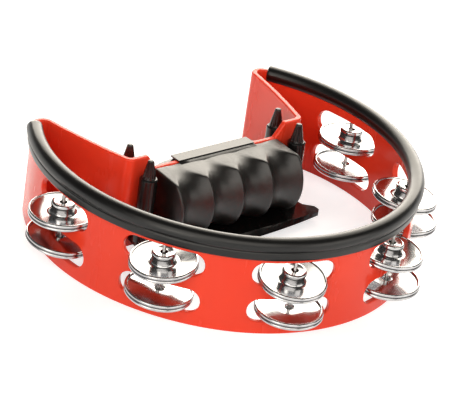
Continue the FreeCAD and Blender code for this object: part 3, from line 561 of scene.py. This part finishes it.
# ---------------------------------------------------------------------------------------------
# Palm pad: a plain rubber swell on the bracket's plate
# ---------------------------------------------------------------------------------------------
PALM_HALF = 50.0 * MM
PALM_SWELL = 11.5 * MM                      # thickness in the middle
PALM_EDGE = 1.0 * MM                        # and at the ends
PALM_DROP = 4.5 * MM                        # its top below the grip's
BACK_PLATE = 2.5 * MM
PALM_CORNER, PALM_SEAT_CORNER = 7.0 * MM, 0.6 * MM
PALM_SPACING = 0.5 * MM
PALM_SLICES = 150
PALM_END = 1.2 * MM                         # rounding of the pad's ends
PALM_SEAT = 1.0 * MM                        # over this distance from the plate it fades
PALM_BLEND = 0.3 * MM
PALM_SKIN = 0.2 * MM                        # the least thickness away from the plate


def make_palm_pad(material):
    """Palm swell: a softened section, drawn in towards both ends by a shallow bow."""
    low, high = PLATE_TOP, GRIP_TOP - PALM_DROP
    loop = soft_loop(rounded_loop([
        (0, low, PALM_SEAT_CORNER), (PALM_SWELL, low, PALM_CORNER),
        (PALM_SWELL, high, PALM_CORNER), (0, high, PALM_SEAT_CORNER)], 10), PALM_SPACING)
    rise = PALM_SWELL - PALM_EDGE
    bow = (PALM_HALF ** 2 + rise ** 2) / (2 * rise)
    free = np.clip(loop[:, 0] / PALM_SEAT, 0, 1)
    way_out = np.sign(loop[:, 1] - (low + high) / 2)
    rows = []
    for x in end_spaced(PALM_HALF, PALM_SLICES, PALM_END):
        limit = PALM_SWELL - bow + math.sqrt(bow ** 2 - x ** 2)
        out = np.maximum(lower_of(loop[:, 0], limit, PALM_BLEND), PALM_SKIN)
        out = np.where(loop[:, 0] < PALM_SKIN, loop[:, 0], out)
        inset = end_rounding(PALM_HALF - abs(x), PALM_END) * free * 0.5
        height = loop[:, 1] - way_out * inset
        rows.append([(x, CROSS_BACK + BACK_PLATE + y, z) for y, z in zip(out, height)])
    piece = new_piece("palm_grip", *loft_rows(rows), material, "grip")
    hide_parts("palm_pad")
    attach(piece, "frame")


# ---------------------------------------------------------------------------------------------
# Pegs: fluted cones on the grip's posts
# ---------------------------------------------------------------------------------------------
PEG_HEIGHT = 13.2                           # the sizes of a peg are in millimetres
PEG_FOOT, PEG_TIP = 4.8, 2.0                # radii of the cone
PEG_SHANK, PEG_PLUG = 2.45, 7.9             # radius and depth of the plug in the post
TIP_HEIGHT, TIP_INSET = 0.8, 0.9            # rounding of the blunt tip, down and inwards
FLUTES, FLUTE_DEPTH, FLUTE_POWER = 8, 0.7, 0.8
FLUTE_START, FLUTE_END = 0.8, 1.6           # heights over which the flutes fade in and out


def peg_rings():
    """The peg's (radius, height) rings from the plug's foot to the tip."""
    rises = np.concatenate([[0, 0.05], np.linspace(0.35, PEG_HEIGHT - TIP_HEIGHT, 24),
                            PEG_HEIGHT - np.array([0.55, 0.32, 0.14, 0.04, 0])])
    rings = [(0.05, -PEG_PLUG), (PEG_SHANK, -PEG_PLUG), (PEG_SHANK, 0)]
    for h in rises:
        cone = PEG_FOOT + (PEG_TIP - PEG_FOOT) * h / PEG_HEIGHT
        left = max(0, 1 - (PEG_HEIGHT - h) / TIP_HEIGHT)
        rings.append((cone - TIP_INSET * (1 - math.sqrt(1 - left ** 2)), h))
    return rings


def make_peg(node, material):
    """Fluted cone with a blunt tip, on a plug that drops into its post."""
    low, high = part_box(node)
    middle = (low + high) / 2
    foot = high.z - PEG_HEIGHT * MM
    rows = []
    for r, h in peg_rings():
        fade = min(1, max(0, h) / FLUTE_START) * min(1, (PEG_HEIGHT - h) / FLUTE_END)
        bite = FLUTE_DEPTH * fade * r / PEG_FOOT
        row = []
        for j in range(ROUND_STEPS):
            turn = 2 * math.pi * j / ROUND_STEPS
            reach = (r - bite * max(0, math.cos(FLUTES * turn)) ** FLUTE_POWER) * MM
            row.append((middle.x + reach * math.cos(turn), middle.y + reach * math.sin(turn),
                        foot + h * MM))
        rows.append(row)
    piece = new_piece(node + "_cone", *loft_rows(rows), material, "fittings")
    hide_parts(node)
    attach(piece, "frame")


# ---------------------------------------------------------------------------------------------
# Put the object together
# ---------------------------------------------------------------------------------------------
WELD_DISTANCE = 0.001 * MM
EDGE_WIDTH = 0.35 * MM
EDGE_ANGLE = math.radians(35)               # edges sharper than this are rounded


def finish_node(node, material):
    """Give a carried-over CAD node its material in every slot."""
    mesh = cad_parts[node].data
    if not mesh.materials:
        mesh.materials.append(material)
    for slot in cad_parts[node].material_slots:
        slot.material = material


def ease_edges(node):
    """Round the edges of a carried-over CAD node a little, as a mould does."""
    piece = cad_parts[node]
    weld = piece.modifiers.new("weld", "WELD")
    weld.merge_threshold = WELD_DISTANCE
    bevel = piece.modifiers.new("bevel", "BEVEL")
    bevel.width = EDGE_WIDTH
    bevel.segments = 2
    bevel.limit_method = "ANGLE"
    bevel.angle_limit = EDGE_ANGLE
    bevel.use_clamp_overlap = True


fittings = fitting_plastic()
rubber = grip_rubber()
steel = pin_steel()
finish_node("frame_shell", shell_plastic())
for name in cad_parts:
    if name.startswith("pin_") or "screw" in name:
        finish_node(name, steel)
for name in ("palm_bracket", "grip_base"):
    finish_node(name, fittings)
    ease_edges(name)
make_bead(bead_rubber())
make_jingles(jingle_steel())
make_finger_pad(rubber)
make_grip_lip(rubber)
make_palm_pad(rubber)
for name in [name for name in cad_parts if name.startswith("peg_")]:
    make_peg(name, fittings)


# ---------------------------------------------------------------------------------------------
# Floor, light and camera
# ---------------------------------------------------------------------------------------------
FLOOR_PALE = (0.66, 0.67, 0.67)
FLOOR_GLOW = 0.69                           # what lifts the pale floor to white in the picture
FLOOR_RINGS, FLOOR_STEPS = (0.4, 1.2, 4, 20), 64
BACKDROP_TOP, CEILING_FROM = 0.06, 0.22     # sines of where the white ends, the ceiling begins
CEILING = (0.085, 0.082, 0.078)
WARM, MILD = (1.0, 0.93, 0.82), (1.0, 0.95, 0.87)
LAMP_AIM = (0, 0, 0.04)
# each lamp's place, width, height, watts and colour
LAMPS = {
    "back": ((1.22, 1.32, 0.70), 2.2, 1.3, 58, WARM),
    "upper": ((1.17, 0.72, 1.70), 1.9, 1.1, 20, WARM),
    "key": ((-1.45, -1.25, 1.30), 3.4, 1.6, 38, MILD),
    "side": ((-1.50, -0.55, 0.30), 0.6, 0.4, 3.5, WARM),
    "front": ((0.70, -1.70, 0.60), 1.6, 0.9, 10, MILD),
}
CAMERA_AZIMUTH, CAMERA_ELEVATION, CAMERA_ROLL = -42.94, 27.607, 8.591   # degrees, from -Y
CAMERA_DISTANCE = 2.020574                  # from the middle of the shell's plan
CAMERA_RIGHT, CAMERA_UP = 0.015773, 0.02059     # how far it stands off that line
FOCAL_LENGTH, SENSOR_WIDTH = 223.53, 36     # millimetres, as Blender's cameras take them
FAR_CLIP = 100


def ray_kinds(tree, *kinds):
    """A socket that is 1 where the ray is of any of these kinds."""
    path = tree.nodes.new("ShaderNodeLightPath")
    total = path.outputs[kinds[0]]
    for kind in kinds[1:]:
        either = tree.nodes.new("ShaderNodeMath")
        either.operation = "MAXIMUM"
        tree.links.new(total, either.inputs[0])
        tree.links.new(path.outputs[kind], either.inputs[1])
        total = either.outputs["Value"]
    return total


def make_floor():
    """Large pale floor that reads white to the camera and keeps the object's shadow."""
    vertices, faces = [(0, 0, 0)], []
    for radius in FLOOR_RINGS:
        vertices += [(radius * math.cos(a), radius * math.sin(a), 0)
                     for a in np.linspace(0, 2 * math.pi, FLOOR_STEPS + 1)[:-1]]
    faces += [(0, 1 + k, 1 + (k + 1) % FLOOR_STEPS) for k in range(FLOOR_STEPS)]
    for i in range(len(FLOOR_RINGS) - 1):
        for k in range(FLOOR_STEPS):
            a, b = 1 + i * FLOOR_STEPS + k, 1 + i * FLOOR_STEPS + (k + 1) % FLOOR_STEPS
            faces.append((a, a + FLOOR_STEPS, b + FLOOR_STEPS, b))
    mesh = bpy.data.meshes.new("floor")
    mesh.from_pydata(vertices, [], faces)
    material, tree, shader = new_material("floor_pale", FLOOR_PALE, 0.7, specular=0.1)
    shader.inputs["Emission Color"].default_value = (1, 1, 1, 1)
    glow = tree.nodes.new("ShaderNodeMath")
    glow.operation = "MULTIPLY"
    glow.inputs[1].default_value = FLOOR_GLOW
    seen = ray_kinds(tree, "Is Camera Ray", "Is Glossy Ray", "Is Transmission Ray")
    tree.links.new(seen, glow.inputs[0])
    tree.links.new(glow.outputs["Value"], shader.inputs["Emission Strength"])
    mesh.materials.append(material)
    floor = bpy.data.objects.new("floor", mesh)
    bpy.context.scene.collection.objects.link(floor)


def make_world():
    """A white backdrop up to a little above the horizon, under a dim warm studio ceiling."""
    world = bpy.data.worlds.new("studio")
    bpy.context.scene.world = world
    world.use_nodes = True
    tree = world.node_tree
    tree.nodes.clear()
    coordinates = tree.nodes.new("ShaderNodeTexCoord")
    parts = tree.nodes.new("ShaderNodeSeparateXYZ")
    tree.links.new(coordinates.outputs["Generated"], parts.inputs["Vector"])
    height = spread(tree, parts.outputs["Z"], 0, 1, BACKDROP_TOP, CEILING_FROM)
    sky = tree.nodes.new("ShaderNodeBackground")
    tree.links.new(mix_colors(tree, height, (1, 1, 1), CEILING), sky.inputs["Color"])
    output = tree.nodes.new("ShaderNodeOutputWorld")
    tree.links.new(sky.outputs["Background"], output.inputs["Surface"])


def softbox(name, place, width, height, power, color):
    """Rectangular area light at a place, facing the object."""
    data = bpy.data.lights.new(name, "AREA")
    data.shape = "RECTANGLE"
    data.size, data.size_y = width, height
    data.energy = power
    data.color = color
    lamp = bpy.data.objects.new(name, data)
    turn = (Vector(LAMP_AIM) - Vector(place)).to_track_quat("-Z", "Y").to_matrix().to_4x4()
    lamp.matrix_world = Matrix.Translation(place) @ turn
    bpy.context.scene.collection.objects.link(lamp)


def make_camera():
    """A long lens from the front left, 28 degrees above the floor and a little rolled."""
    azimuth, elevation, roll = np.radians((CAMERA_AZIMUTH, CAMERA_ELEVATION, CAMERA_ROLL))
    back = Vector((math.sin(azimuth) * math.cos(elevation),
                   -math.cos(azimuth) * math.cos(elevation), math.sin(elevation)))
    level = Vector((math.cos(azimuth), math.sin(azimuth), 0))
    above = back.cross(level)
    right = level * math.cos(roll) + above * math.sin(roll)
    up = above * math.cos(roll) - level * math.sin(roll)
    place = (Vector((0, PLAN_Y, 0)) + back * CAMERA_DISTANCE
             + right * CAMERA_RIGHT + up * CAMERA_UP)
    data = bpy.data.cameras.new("camera")
    data.lens = FOCAL_LENGTH
    data.sensor_width = SENSOR_WIDTH
    data.clip_end = FAR_CLIP
    camera = bpy.data.objects.new("camera", data)
    turn = Matrix((right, up, back)).transposed().to_4x4()
    camera.matrix_world = Matrix.Translation(place) @ turn
    bpy.context.scene.collection.objects.link(camera)
    bpy.context.scene.camera = camera


make_floor()
make_world()
for lamp_name, lamp_sizes in LAMPS.items():
    softbox(lamp_name, *lamp_sizes)
make_camera()
bpy.context.scene.view_settings.view_transform = "Standard"
